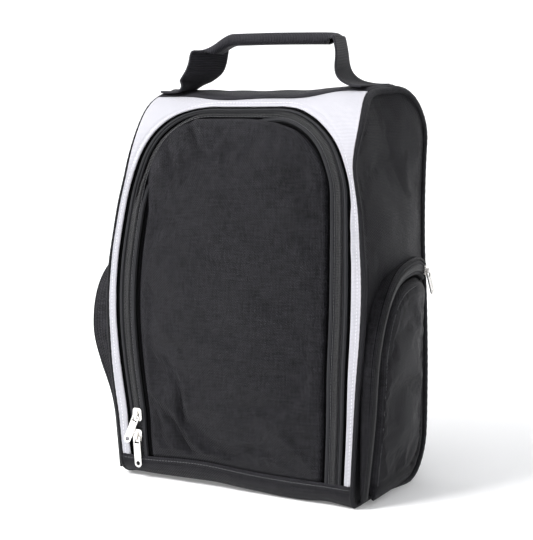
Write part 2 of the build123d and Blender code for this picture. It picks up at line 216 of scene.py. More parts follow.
def weave_grid(along, across):
    """Weave coordinates for the points of a grid."""
    return np.stack(np.meshgrid(along, across, indexing="ij"), axis=2).reshape(-1, 2)


def facing(faces, keep):
    """The same faces, turned over unless keep is true."""
    return faces if keep else [f[::-1] for f in faces]


def new_mesh(name, points, faces, uv, wear=None, shade=None):
    """A smooth mesh object from points in millimetres, with weave coordinates, edge wear and painted shade
    for seams and creases.
    """
    mesh = bpy.data.meshes.new(name)
    mesh.from_pydata((np.asarray(points) * MM).tolist(), [], [list(map(int, f)) for f in faces])
    mesh.validate()
    mesh.shade_smooth()
    index = np.empty(len(mesh.loops), int)
    mesh.loops.foreach_get("vertex_index", index)
    layer = mesh.uv_layers.new(name="weave")
    layer.data.foreach_set("uv", np.asarray(uv, np.float32)[index].ravel())
    # wear is rubbed edges; shade is painted shade, where shade falls in seams and creases
    for label, values in (("wear", wear), ("shade", shade)):
        if values is not None:
            layer = mesh.attributes.new(label, "FLOAT", "POINT")
            layer.data.foreach_set("value", np.asarray(values, np.float32))
    obj = bpy.data.objects.new(name, mesh)
    bpy.context.scene.collection.objects.link(obj)
    return obj


def grid_faces(rows, columns, closed=False, loop=False):
    """Quads of a grid. closed joins its last column to its first, and loop its last row to its first."""
    faces = []
    for r in range(rows if loop else rows - 1):
        here, above = r * columns, (r + 1) % rows * columns
        for c in range(columns if closed else columns - 1):
            beside = (c + 1) % columns
            faces.append((here + c, here + beside, above + beside, above + c))
    return faces


def thicken(obj, millimetres):
    """Gives cloth its thickness, inwards."""
    solid = obj.modifiers.new("thickness", "SOLIDIFY")
    solid.thickness = millimetres * MM
    solid.offset = -1
    solid.use_even_offset = False


def edge_distance(points, path, closed=True):
    """Each point's distance to a path of straight pieces."""
    a = path
    b = np.roll(path, -1, axis=0)
    if not closed:
        a, b = path[:-1], path[1:]
    best = np.full(len(points), 1e9)
    for p, q in zip(a, b):
        d = q - p
        t = np.clip(((points - p) @ d) / max(d @ d, 1e-12), 0, 1)
        best = np.minimum(best, np.linalg.norm(points - (p + t[:, None] * d), axis=1))
    return best


def resample(outline, pitch):
    """A closed outline with points about one pitch apart. Sharp corners stay."""
    path = np.vstack([outline, outline[:1]])
    out = [path[0]]
    for p, q in zip(path[:-1], path[1:]):
        n = max(1, int(np.linalg.norm(q - p) / pitch))
        out.extend(p + (q - p) * (k + 1) / n for k in range(n))
    out = np.array(out)
    keep = [0]
    for k in range(1, len(out)):
        if np.linalg.norm(out[k] - out[keep[-1]]) > 0.6 * pitch or k == len(out) - 1:
            keep.append(k)
    return out[keep[:-1]]


def inside(points, outline):
    """Which points lie in a closed outline, by crossing number."""
    x, y = points.T
    hit = np.zeros(len(points), bool)
    for (x0, y0), (x1, y1) in zip(outline, np.roll(outline, -1, axis=0)):
        crosses = (y0 > y) != (y1 > y)
        if y1 != y0:
            hit ^= crosses & (x < (x1 - x0) * (y - y0) / (y1 - y0) + x0)
    return hit


def cut_cloth(outline, spacing=4.0, rows=(0.8, 2.0, 4.5, 6.0, 7.5)):
    """Cuts a flat piece: its points, with rows of them along its edge, its triangles and edge distances."""
    outline = resample(np.asarray(outline, float), spacing * 0.75)
    edge = np.roll(outline, -1, axis=0) - np.roll(outline, 1, axis=0)
    area = np.sum(outline[:, 0] * np.roll(outline[:, 1], -1) - outline[:, 1] * np.roll(outline[:, 0], -1))
    normal = unit(np.column_stack([-edge[:, 1], edge[:, 0]])) * np.sign(area)
    inner = []
    for depth in rows:
        ring = outline + normal * depth
        ring = ring[inside(ring, outline)]
        inner.append(ring[edge_distance(ring, outline) > depth - 0.1])
    low, high = outline.min(0), outline.max(0)
    columns = np.arange(low[0], high[0], spacing)
    lines = np.arange(low[1], high[1], spacing * 0.866)
    lattice = np.array([(x + spacing / 2 * (k % 2), y) for k, y in enumerate(lines) for x in columns])
    lattice = lattice[inside(lattice, outline)]
    inner.append(lattice[edge_distance(lattice, outline) > rows[-1] + spacing * 0.6])
    points = np.vstack([outline, *inner])
    n = len(outline)
    ring = [(k, (k + 1) % n) for k in range(n)]
    found = geometry.delaunay_2d_cdt([Vector(p) for p in points], ring, [list(range(n))], 1, 1e-4)
    points = np.array([tuple(v) for v in found[0]])
    faces = []
    for f in found[2]:
        a, b, c = points[list(f)]
        faces.append(f if np.cross(b - a, c - a) > 0 else f[::-1])
    return points, faces, edge_distance(points, outline)


def hem(distance):
    """Height of a turned edge: a rolled lip, a stitched groove and then the padded field."""
    return np.interp(distance, (0, 0.8, 2.0, 4.5, 6.0, 7.5, 10.0), (-0.1, 0.7, 1.0, 0.85, 0.2, 0.8, 1.0))


def sunk_edge(distance):
    """Height of a padded panel that stands up out of the seam around it."""
    return np.interp(distance, (0, 1.8, 2.7, 3.6, 6.0, 11.0), (-3.0, -3.0, -1.4, 0.9, 1.7, 2.0))


CLOTH_FRAMES, CLOTH_TRAVEL = 18, 6.0 * MM


def relax(obj, held, pressure, slack):
    """Lets a panel settle as cloth: held where held is true, and pushed out by its padding elsewhere."""
    scene = bpy.context.scene
    mesh = obj.data
    start = np.empty(len(mesh.vertices) * 3)
    mesh.vertices.foreach_get("co", start)
    group = obj.vertex_groups.new(name="held")
    group.add([int(k) for k in np.nonzero(held)[0]], 1.0, "REPLACE")
    cloth = obj.modifiers.new("cloth", "CLOTH")
    settings = cloth.settings
    settings.quality = 5
    settings.mass = 0.25
    settings.tension_stiffness = settings.compression_stiffness = 20
    settings.shear_stiffness = 8
    settings.bending_stiffness = 0.4
    settings.vertex_group_mass = "held"
    settings.use_pressure = True
    settings.uniform_pressure_force = pressure
    settings.shrink_min = -slack
    settings.effector_weights.gravity = 0.0
    cloth.collision_settings.use_collision = False
    cloth.point_cache.frame_start, cloth.point_cache.frame_end = 1, CLOTH_FRAMES
    for frame_number in range(1, CLOTH_FRAMES + 1):
        scene.frame_set(frame_number)
    settled = obj.evaluated_get(bpy.context.evaluated_depsgraph_get()).to_mesh()
    end = np.empty_like(start)
    settled.vertices.foreach_get("co", end)
    obj.modifiers.remove(cloth)
    obj.vertex_groups.remove(group)
    scene.frame_set(1)
    move = (end - start).reshape(-1, 3)
    far = np.linalg.norm(move, axis=1)
    move *= (CLOTH_TRAVEL * np.tanh(far / CLOTH_TRAVEL) / np.maximum(far, 1e-9))[:, None]
    mesh.vertices.foreach_set("co", start + move.ravel())
    mesh.update()


def field(points, seed, size, height):
    """Smooth unevenness over a cloth, about size across."""
    shift = Vector((seed * 17.3, seed * 5.1, seed * 9.7))
    return np.array([noise.noise(Vector((p[0], p[1], 0)) / size + shift) for p in points]) * height


def creases(points, lines):
    """Soft folds: each line is (x, u, angle, length, width, height)."""
    total = np.zeros(len(points))
    for x, u, angle, length, width, height in lines:
        a = radians(angle)
        dx, du = points[:, 0] - x, points[:, 1] - u
        along, across = dx * cos(a) + du * sin(a), -dx * sin(a) + du * cos(a)
        across = across + 0.12 * length * np.sin(along / length * 2.2)
        total += height * np.exp(-((along / length) ** 2) * 2) * np.exp(-((across / width) ** 2))
    return total


def membrane(points, faces, fixed, load):
    """Heights of a sheet held at its fixed points (nan elsewhere) and pushed outwards by an even load."""
    n = len(points)
    links = {tuple(sorted((f[k], f[(k + 1) % len(f)]))) for f in faces for k in range(len(f))}
    system = np.zeros((n, n))
    for a, b in links:
        w = 1 / max(np.linalg.norm(points[a] - points[b]), 1e-3)
        system[a, b] -= w
        system[b, a] -= w
    system[np.diag_indices(n)] = -system.sum(1)
    area = np.zeros(n)
    for f in faces:
        a, b, c = points[list(f[:3])]
        area[list(f)] += abs(np.cross(b - a, c - a)) / 6
    right = load * area
    held = ~np.isnan(fixed)
    system[held] = 0
    system[held, held] = 1
    right[held] = fixed[held]
    return np.linalg.solve(system, right)


# ---------------------------------------------------------------- rows of small pieces
def spaced(low, high, pitch, phase=0.0):
    """Evenly spaced frames on a path given at the surface (low) and 1 mm above it (high)."""
    length = travel(low)
    at = np.arange(pitch * (0.5 + phase), length[-1], pitch)

    def pick(path, where):
        return np.column_stack([np.interp(where, length, path[:, k]) for k in range(3)])

    origin = pick(low, at)
    normal = pick(high, at) - origin
    along = unit(pick(low, at + 0.4) - pick(low, at - 0.4))
    across = unit(np.cross(normal, along))
    return origin, along, across, np.cross(along, across)


def scatter(name, template, faces, frames):
    """One mesh of copies of a small piece, whose points are (along, across, up) in each frame."""
    origin, along, across, up = frames
    count, size = len(origin), len(template)
    points = origin[:, None, :]
    for k, axis in enumerate((along, across, up)):
        points = points + template[None, :, k : k + 1] * axis[:, None, :]
    faces = [tuple(v + k * size for v in f) for k in range(count) for f in faces]
    return new_mesh(name, points.reshape(-1, 3), faces, np.tile(template[:, :2], (count, 1)))


def tube(stations, sides=6):
    """A small tube through stations of (centre, one radius, the other radius), given as vectors."""
    a = tau * np.arange(sides)[:, None] / sides
    rings = [centre + np.cos(a) * wide + np.sin(a) * tall for centre, wide, tall in np.array(stations, float)]
    return np.vstack(rings), grid_faces(len(stations), sides, closed=True)


def stitch_row(name, paths, slot, body, thread_material, pitch=3.0, thread=0.26):
    """Lockstitches along one or more paths, each given as (surface, 1 mm above)."""
    half, bend, thin = pitch * 0.41, pitch * 0.287, thread * 0.55
    # (along, up, radius) of each ring of a stitch, which dips into the cloth at both ends
    rings = ((-half, -0.25, thin), (-bend, 0.12, thread), (bend, 0.12, thread), (half, -0.25, thin))
    stitch = tube([((along, 0, up), (0, r, 0), (0, 0, r)) for along, up, r in rings])
    frames = [spaced(low, high, pitch) for low, high in paths]
    frames = tuple(np.vstack([f[k] for f in frames]) for k in range(4))
    row = scatter(name, *stitch, frames)
    return finish_piece(row, slot, body, material=thread_material)


def shell_line(x, u, height):
    """A path on the wrapped panels, as a surface line and the line 1 mm above it."""
    return shell(x, u, -height), shell(x, u, -height - 1)


def door_line(offset, height):
    return shell_line(*door_edge(offset).T, height)


def band(name, lines, widths, shade):
    """A ribbon through several lines of equal length, with weave coordinates along and across, and painted
    shade for each line.
    """
    points = np.stack(lines, axis=1).reshape(-1, 3)
    length = travel(lines[0])
    faces = grid_faces(len(length), len(lines))
    return new_mesh(name, points, faces, weave_grid(length, widths), shade=np.tile(shade, len(length)))


# ---------------------------------------------------------------- materials
CLOTH_GLOSS, CLOTH_SHEEN = 0.12, 0.015


class Nodes:
    """A short way to write a material's nodes. A value is a number, a colour or another node's output."""

    def __init__(self, name):
        self.material = bpy.data.materials.new(name)
        self.material.use_nodes = True
        self.tree = self.material.node_tree
        self.shader = self.tree.nodes["Principled BSDF"]

    def feed(self, socket, value):
        if isinstance(value, bpy.types.NodeSocket):
            self.tree.links.new(value, socket)
        else:
            socket.default_value = (*value, 1) if socket.type == "RGBA" else value

    def add(self, kind, output, inputs=(), **settings):
        """Adds a node and returns one of its outputs."""
        node = self.tree.nodes.new(kind)
        for key, value in settings.items():
            setattr(node, key, value)
        for key, value in dict(inputs).items():
            self.feed(node.inputs[key], value)
        return node.outputs[output]

    def set(self, **values):
        """Sets the shader's inputs, whose names are written with _ for a space."""
        for key, value in values.items():
            self.feed(self.shader.inputs[key.replace("_", " ")], value)

    def place(self):
        return self.add("ShaderNodeTexCoord", "Object")

    def weave(self):
        return self.add("ShaderNodeUVMap", "UV", uv_map="weave")

    def painted(self, name):
        return self.add("ShaderNodeAttribute", "Fac", attribute_name=name)

    def math(self, operation, a, b):
        return self.add("ShaderNodeMath", 0, {0: a, 1: b}, operation=operation)

    def times(self, a, b):
        return self.math("MULTIPLY", a, b)

    def plus(self, a, b):
        return self.math("ADD", a, b)

    def mix(self, amount, low, high):
        """Blends two colours by a value."""
        return self.add("ShaderNodeMix", 2, {"Factor": amount, 6: low, 7: high}, data_type="RGBA")

    def span(self, value, low, high):
        return self.add("ShaderNodeMapRange", "Result", {"Value": value, "To Min": low, "To Max": high})

    def noise(self, place, scale, detail=3.0):
        return self.add("ShaderNodeTexNoise", "Fac", {"Vector": place, "Scale": scale, "Detail": detail})

    def streaks(self, place, scale_x, scale_y):
        """Noise drawn out along one direction, like uneven threads."""
        drawn = self.add("ShaderNodeMapping", "Vector", {"Vector": place, "Scale": (scale_x, scale_y, 1)})
        return self.noise(drawn, 1.0, 2.0)

    def ribs(self, place, pitch, direction):
        """Rounded ribs, one to each pitch of the weave coordinates."""
        inputs = {"Vector": place, "Scale": 0.314159 / pitch}
        return self.add("ShaderNodeTexWave", "Fac", inputs, wave_type="BANDS", bands_direction=direction)

    def bump(self, height, distance, strength=1.0):
        inputs = {"Height": height, "Distance": distance, "Strength": strength}
        self.set(Normal=self.add("ShaderNodeBump", "Normal", inputs))

    def worn_and_shaded_cloth(self, cloth, colour, worn, rubbed):
        """Cloth rubbed to its worn colour at its edges, and given painted shade, dark and without gloss, down
        in its seams and creases.
        """
        cloth = self.mix(self.times(self.painted("wear"), rubbed), cloth, worn)
        # painted shade: the shade attribute darkens the cloth and takes its gloss away where shade falls
        seam = self.painted("shade")
        self.set(Base_Color=self.mix(seam, cloth, darker(colour, 0.9)), Sheen_Weight=CLOTH_SHEEN)
        self.set(Specular_IOR_Level=self.span(seam, CLOTH_GLOSS, 0.0))


def mixed(colour, other, share):
    return tuple(a * (1 - share) + b * share for a, b in zip(colour, other))


def darker(colour, share):
    return mixed(colour, (0, 0, 0), share)


def woven(name, colour, worn, thread=1.15, roughness=0.5, depth=0.6, grain=0.9):
    """Plain-weave cloth: threads over and under each other, uneven dye, rubbed edges, and painted shade
    between the threads and in its seams.
    """
    n = Nodes(name)
    weave = n.weave()
    warp, weft = n.ribs(weave, thread, "X"), n.ribs(weave, thread, "Y")
    over = n.add("ShaderNodeTexChecker", "Fac", {"Vector": weave, "Scale": 1 / thread})
    height = n.plus(n.times(warp, over), n.times(weft, n.math("SUBTRACT", 1.0, over)))
    slub = n.times(n.plus(n.streaks(weave, 0.09, 0.55), n.streaks(weave, 0.55, 0.09)), 0.5)
    tone = n.plus(n.times(n.noise(weave, 0.025, 4.0), 0.4), n.times(n.span(slub, -2.4, 3.4), 0.6))
    cloth = n.mix(tone, darker(colour, grain), mixed(colour, worn, grain))
    # painted shade: the cloth is darker down between the threads
    cloth = n.mix(n.span(height, 0.0, 0.6), darker(colour, 0.6), cloth)
    n.worn_and_shaded_cloth(cloth, colour, worn, n.span(slub, 0.1, 0.9))
    n.set(Roughness=n.span(tone, roughness - 0.08, roughness + 0.08), Sheen_Roughness=0.4)
    n.bump(n.plus(height, n.times(slub, 1.2)), depth * MM)
    return n.material


def ribbed(name, colour, worn, pitch, direction, cross=0.9, depth=0.3):
    """Webbing and tape: ribs one way, broken by the threads that cross them, with painted shade between the
    ribs and in its seams.
    """
    n = Nodes(name)
    weave = n.weave()
    rib = n.ribs(weave, pitch, direction)
    thread = n.ribs(weave, cross, "Y" if direction == "X" else "X")
    height = n.plus(rib, n.times(n.times(thread, rib), 0.6))
    slub = n.noise(weave, 0.9, 3.0)
    # painted shade: darker down between the ribs; the rib tops are a little paler, toward the worn colour
    cloth = n.mix(n.span(height, 0.2, 1.0), darker(colour, 0.5), mixed(colour, worn, 0.15))
    n.worn_and_shaded_cloth(cloth, colour, worn, n.span(slub, 0.0, 0.9))
    n.set(Roughness=n.span(slub, 0.5, 0.7), Sheen_Roughness=0.5)
    n.bump(n.plus(height, n.times(slub, 0.4)), depth * MM)
    return n.material


def nickel():
    """Bright cast nickel, brushed and handled."""
    n = Nodes("nickel")
    smudge = n.noise(n.place(), 260.0, 4.0)
    n.set(Base_Color=n.mix(smudge, (0.72, 0.70, 0.67), (0.86, 0.85, 0.83)), Metallic=1.0)
    n.set(Roughness=n.span(smudge, 0.14, 0.34))
    n.bump(n.noise(n.place(), 2600.0, 2.0), 0.02 * MM, 0.6)
    return n.material


def nylon():
    """Moulded nylon coil with a dull gloss."""
    n = Nodes("nylon_coil")
    grain = n.noise(n.place(), 900.0)
    n.set(Base_Color=n.mix(grain, (0.008, 0.008, 0.009), (0.020, 0.020, 0.022)))
    n.set(Roughness=n.span(grain, 0.28, 0.46))
    n.bump(grain, 0.03 * MM)
    return n.material


def sewing_thread(name, colour):
    n = Nodes(name)
    ply = n.ribs(n.weave(), 0.35, "DIAGONAL")
    # painted shade: darker down in the twist between the plies
    n.set(Base_Color=n.mix(ply, darker(colour, 0.35), colour), Roughness=0.55, Sheen_Weight=0.3)
    n.bump(ply, 0.06 * MM)
    return n.material


BLACK = (0.019, 0.0185, 0.023)
WORN_BLACK = (0.062, 0.060, 0.070)
WHITE = (0.745, 0.738, 0.797)
GREY_WHITE = (0.66, 0.65, 0.67)
LINING = (0.014, 0.014, 0.017)
TRIM = (0.012, 0.012, 0.014)
MATERIALS = {
    "black_cloth": woven("black_cloth", BLACK, WORN_BLACK),
    "white_cloth": woven("white_cloth", WHITE, GREY_WHITE, roughness=0.7, depth=0.14, grain=0.07),
    "lining_cloth": woven("lining_cloth", LINING, WORN_BLACK, thread=0.45, depth=0.08, grain=0.2),
    "piping_cloth": woven("piping_cloth", TRIM, WORN_BLACK, thread=0.6, depth=0.15, grain=0.3),
    "binding_tape": ribbed("binding_tape", TRIM, WORN_BLACK, 0.7, "X", depth=0.25),
    "zip_tape": ribbed("zip_tape", (0.030, 0.0305, 0.033), WORN_BLACK, 1.1, "Y", cross=1.0),
    "webbing": ribbed("webbing", (0.0175, 0.017, 0.0205), WORN_BLACK, 1.5, "X", cross=1.1),
    "zip_coil": nylon(),
    "nickel": nickel(),
}
BLACK_THREAD = sewing_thread("black_thread", (0.075, 0.075, 0.082))
WHITE_THREAD = sewing_thread("white_thread", (0.82, 0.82, 0.86))


def finish_piece(obj, slot, body, nodes=(), material=None):
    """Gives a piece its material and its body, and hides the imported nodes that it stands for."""
    obj.data.materials.clear()
    obj.data.materials.append(material or MATERIALS[slot])
    if body:
        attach(obj, body)
    if nodes:
        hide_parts(*nodes)
    return obj


def bend_between(obj):
    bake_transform(obj)


def across_door_fold(obj):
    """Cloth and zip that run on past the door's fold: their placement is baked into their points."""
    bend_between(obj)


# ---------------------------------------------------------------- wrapped panels
CLOTH_THICKNESS = 3.0
PANEL_REACH = HALF_W - 1.2


def soft_piece(
    name, mesh, slot, body, nodes, thickness=CLOTH_THICKNESS, held=None, pressure=0, slack=0.02, padding=0
):
    """A cloth piece from the data of its mesh: settled under pressure and thickened. Its padding is not used.
    """
    obj = new_mesh(name, *mesh)
    if pressure:
        relax(obj, held, pressure, slack)
    thicken(obj, thickness)
    finish_piece(obj, slot, body, nodes)
    return obj


def cloth_panel(name, outline, place, slot, body, nodes, spacing=4.0, wear_edge=1.5, **how):
    """A soft piece that is cut flat, and placed by a function of its points and edge distances."""
    points, faces, distance = cut_cloth(outline, spacing)
    mesh = place(points, distance), faces, points, 0.5 * np.exp(-distance / wear_edge)
    return soft_piece(name, mesh, slot, body, nodes, held=distance < 8, **how)


def door_lap(x, u):
    """How far the puffed door laps over its zip: most along the top on the left."""
    along_top = 8.6 * smooth((u - 222) / 34) * (1 - smooth((x - 4) / 42))
    return along_top + corner_lap(x, u)


def corner_lap(x, u):
    """The lap that the door has only at its top left corner."""
    return 4.2 * smooth((u - 242) / 22) * smooth((-x - 30) / 40)


# Creases worn into the door and the sides, and puckers in the yoke: (x, u, angle, length, width, height).
DOOR_FOLDS = (
    (-44, 290, -48, 24, 3.8, -3.0),
    (-36, 294, -48, 22, 4.2, 2.0),
    (-64, 268, -66, 28, 4.5, -2.6),
    (-57, 271, -66, 26, 4.5, 1.4),
    (-10, 250, -20, 46, 8, -1.0),
    (26, 268, 24, 50, 8, 1.2),
    (60, 236, 62, 40, 6, 1.0),
    (-76, 170, 80, 60, 7, 1.0),
    (-50, 31, -46, 36, 3.6, -3.6),
    (-42, 36, -46, 34, 4.5, 2.6),
    (-45, 57, -76, 28, 3.6, -3.0),
    (-38, 60, -76, 28, 4.5, 2.0),
    (-72, 40, -60, 26, 4, -2.2),
    (58, 60, 48, 50, 7, 1.2),
    (30, 30, 20, 36, 6, -1.0),
    (8, 130, 80, 90, 11, 0.9),
)
YOKE_PUCKERS = (
    (103, 228, -58, 22, 3.4, 1.6),
    (99, 246, -40, 22, 3.4, -1.5),
    (104, 208, -62, 20, 3.4, 1.3),
    (-88, 268, 40, 30, 6, 0.8),
    (90, 300, -30, 34, 6, 0.9),
)
SIDE_FOLDS = ((-22, 232, 38, 50, 9, 0.7), (22, 262, 118, 60, 9, 0.5), (4, 206, 12, 50, 10, -0.4))
VALLEY = -1.5             # creases deeper than this get painted shade inside


def door_panel():
    """The padded door, which stands up out of the groove round it, and its lining."""
    edge = door_edge(-TAPE_IN)
    points, faces, distance = cut_cloth(edge, 3.6, (0.8, 1.6, 2.6, 3.6, 6.0))
    # the groove is wider on the left and along the top
    groove = 0.9 * smooth(-points[:, 0] / 60) + 0.2 * door_lap(*points.T)
    by_zip = edge_distance(points, edge, closed=False) - groove
    flat = smooth((distance - 2) / 9)
    height = np.minimum(sunk_edge(by_zip), hem(distance) + 3 * smooth(distance / 9) - 0.6)
    height += 3.2 * smooth(distance / 60)
    height += smooth((distance - 7) / 30) * (field(points, 3, 46, 2.2) + field(points, 5, 19, 0.8))
    height += flat * creases(points, DOOR_FOLDS)
    outward = unit(points - (0, ZIP_CORNER_Z - FRONT_BASE_R - 20))
    lap = door_lap(*points.T) * (1 - smooth(distance / 26))
    spread = points + outward * lap[:, None]
    # painted shade: darker in the groove by the zip and down in the deeper crease valleys
    valleys = -0.16 * creases(points, [fold for fold in DOOR_FOLDS if fold[5] < VALLEY]) * flat
    shade = np.maximum(1 - smooth((by_zip - 1.2) / 1.6), np.clip(valleys, 0, 0.5))
    wear = 0.25 * np.exp(-(((by_zip - 4) / 1.2) ** 2))
    mesh = shell(*spread.T, -height), faces, points, wear, shade
    nodes = ("door_panel", "door_foam", "door_base_panel", "door_base_foam")
    how = dict(held=distance < 7, pressure=3.0, padding=0.35)
    across_door_fold(soft_piece("door_cloth", mesh, "black_cloth", None, nodes, **how))

    def place_lining(points, distance):
        height = smooth((distance - 2) / 20) * (field(points, 8, 38, 1.0) + 0.3)
        return shell(*points.T, LINING_DEPTH - 0.3 + height)

    nodes = ("door_lining", "door_base_lining")
    outline = door_edge(-TAPE_IN - 0.5)
    lining = "door_inside", outline, place_lining, "lining_cloth", None, nodes, 6.0
    across_door_fold(cloth_panel(*lining, thickness=0.4))


def wrap_outline(u0, u1, reach=PANEL_REACH):
    return np.array([(-reach, u0), (reach, u0), (reach, u1), (-reach, u1)], float)


def yoke_outline(reach, offset):
    """The front round the door, from its feet to the top seam, cut offset from the zip."""
    cut = door_edge(offset)
    foot, seam = cut[0, 1], top_u(TOP_SEAM_Y)
    return np.vstack([[(-reach, foot), (-reach, seam), (reach, seam), (reach, foot)], cut[::-1]])


def yoke():
    """The white front, padded and sewn flat beside the zip."""
    cut = door_edge(TAPE_OUT)

    def place(points, _):
        by_zip = edge_distance(points, cut, closed=False)
        height = hem(by_zip) * 0.9 + 0.8 * smooth((by_zip - 8) / 30)
        height += field(points, 11, 30, 0.7) * smooth(by_zip / 12) + creases(points, YOKE_PUCKERS)
        return shell(*points.T, -height)

    nodes = ("front_yoke", "yoke_foam")
    outline = yoke_outline(PANEL_REACH, TAPE_OUT)
    how = dict(wear_edge=0.7, thickness=2.6, padding=0.3)
    cloth_panel("yoke_cloth", outline, place, "white_cloth", "bag", nodes, **how)


def back_and_base():
    """The crowned back, and the base, which is flat where it stands on the floor."""

    def place_back(points, distance):
        uneven = field(points, 21, 55, 2.2) + field(points, 23, 20, 0.5)
        return shell(*points.T, -0.4 - 3.2 * smooth(distance / 70) - smooth(distance / 25) * uneven)

    outline = wrap_outline(top_u(TOP_SEAM_Y), BACK_SEAM_U)
    nodes = ("back_panel", "back_foam")
    how = dict(pressure=2.5, padding=0.35)
    cloth_panel("back_cloth", outline, place_back, "black_cloth", "bag", nodes, **how)

    def place_base(points, distance):
        u = points[:, 1]
        floor = smooth((u - BACK_SEAM_U - 60) / 20) * (1 - smooth((u - ROUND + 26) / 16))
        turned_edge = (0, 0.8, 2, 5, 6, 7.2, 9), (0.2, 1.2, 1.5, 1.3, 0.8, 1.2, 1.0)
        height = np.interp(BASE_TOP_U - u, *turned_edge)
        height += field(points, 27, 34, 0.7) * smooth(distance / 20)
        return above_floor(shell(*points.T, -height * (1 - floor)))

    outline = wrap_outline(BACK_SEAM_U - 2, BASE_TOP_U)
    nodes = ("base_panel", "base_foam")
    cloth_panel("base_cloth", outline, place_base, "black_cloth", "bag", nodes, padding=0.3)


def above_floor(points):
    points[:, 2] = np.maximum(points[:, 2], 0.2)
    return points


def side_outline(depth):
    return np.column_stack(section(np.linspace(0, ROUND, 181)[:-1], depth))


def side_panels():
    """The crowned sides, which lie flat behind their pockets."""
    points, faces, distance = cut_cloth(side_outline(1.0), 5.0)
    held = np.where(distance < 0.3, 0.0, np.nan)
    crown = membrane(points, faces, held, 0.00105)
    y, z = points.T
    above_pocket = smooth((z - 150 + 0.3 * y) / 60)
    folds = creases(points, SIDE_FOLDS)
    for side, name in SIDES:
        seed = 34 - 3 * side
        uneven = field(points, seed, 52, 1.8) * above_pocket + field(points, seed + 2, 21, 0.5)
        height = 0.5 + np.minimum(crown * (0.25 + 0.75 * above_pocket), 5.5)
        height += smooth(distance / 22) * (uneven + folds * above_pocket)
        x = side * (HALF_W + height * np.where(distance < 3, distance / 3, 1))
        co = settle(np.column_stack([x, y, z]))
        mesh = co, facing(faces, side > 0), points, 0.4 * np.exp(-distance / 2)
        nodes = (f"{name}_side_panel", f"{name}_side_foam")
        held = (distance < 7) | (above_pocket < 0.15)
        how = dict(held=held, pressure=1.5, slack=0.003, padding=0.35)
        soft_piece(f"{name}_side_cloth", mesh, "black_cloth", "bag", nodes, **how)


def hoop_mesh(u, lines, pitch, keep, closed=False):
    """Mesh data of a cord or tape that runs right round a side, from lines of points beside each other."""
    points = above_floor(settle(np.stack(lines, axis=1).reshape(-1, 3)))
    faces = facing(grid_faces(len(u), len(lines), closed, loop=True), keep)
    return points, faces, weave_grid(u, np.arange(len(lines)) * pitch)


PIPING_R, PIPING_TURNS = 2.9, 10


def piping():
    """A corded edge round each side panel, rubbed along its outer corner."""
    u = np.linspace(0, ROUND, 401)[:-1]
    y, z = section(u, 1.1)
    out_y, out_z = section(u, 0.1)
    outward = np.column_stack([np.zeros(len(u)), out_y - y, out_z - z])
    radius = PIPING_R * (1 + 0.03 * np.sin(u * 0.9))[:, None]
    wear = np.tile([0.35 if 1 <= k <= 3 else 0.05 for k in range(PIPING_TURNS)], len(u))
    for side, name in SIDES:
        centre = np.column_stack([np.full(len(u), side * (HALF_W + 0.5)), y, z])
        lines = []
        for a in np.arange(PIPING_TURNS) * tau / PIPING_TURNS:
            lines.append(centre + radius * (cos(a) * outward + sin(a) * np.array([side, 0, 0])))
        mesh = hoop_mesh(u, lines, 1.5, side > 0, closed=True)
        finish_piece(new_mesh(f"{name}_piping_cord", *mesh, wear), "piping_cloth", "bag", (f"{name}_piping",))


# ---------------------------------------------------------------- zips
TOOTH = ((-0.9, -0.05), (-0.55, 0.55), (0.3, 0.95), (1.7, 1.0), (2.5, 0.6), (2.9, -0.1))


def teeth(name, low, high, toward, phase, pitch=1.3):
    """Half a zip's coil as separate turns. toward is +1 or -1: the side of the path that its tape is on."""
    turn = [((0.12 * s, toward * s, up), (0.42, 0, 0), (0, 0, 0.34)) for s, up in TOOTH]
    template, faces = tube(turn)
    return scatter(name, template, facing(faces, toward < 0), spaced(low, high, pitch, phase))


# The ribbons' relief across the main zip and across the outer half of a pocket's: (offset, height).
OUTER_RELIEF = (
    (13.0, -1.0), (10.2, -2.2), (8.6, -2.6), (7.6, -1.8), (6.9, 0.0), (5.8, 0.5), (4.8, 0.2),
    (4.1, -1.1), (3.4, -0.3), (1.2, -1.1),
)
INNER_RELIEF = (
    (-1.2, -1.1), (-3.4, -0.3), (-4.1, -1.1), (-4.8, 0.2), (-6.1, 0.6), (-7.4, 0.2), (-8.2, -1.6),
    (-9.2, -3.0), (-12.0, -3.4),
)
POCKET_RELIEF = ((1.2, -0.9), (2.8, -0.2), (4.0, 0.25), (5.2, 0.25), (6.0, -0.6), (6.9, -1.8), (9.0, -2.0))


INNER_TUCK = 0.42         # how deep the inner half lies, for each millimetre that the door laps over it


def seam_shade(height):
    """How much painted shade a zip's ribbon gets at a height: the deeper down its grooves, the darker."""
    return float(np.clip((-0.1 - height) / 1.1, 0, 1))


def zip_half(name, ribbon, coil, out, toward, body, tape_nodes, coil_nodes, bend):
    """Half a zip. ribbon is its lines, relief and thickness, coil its path, and bend is called on it when it
    has no body.
    """
    lines, relief, thickness = ribbon
    # painted shade down in the ribbon's grooves
    shade = [seam_shade(height) for _, height in relief]
    tape = band(f"{name}_ribbon", lines, [offset for offset, _ in relief], shade)
    thicken(tape, thickness)
    turns = teeth(f"{name}_coils", *coil, toward, 0.0 if out > 0 else 0.5)
    finish_piece(tape, "zip_tape", body, tape_nodes)
    finish_piece(turns, "zip_coil", body, coil_nodes)
    if not body:
        bend(tape)
        bend(turns)


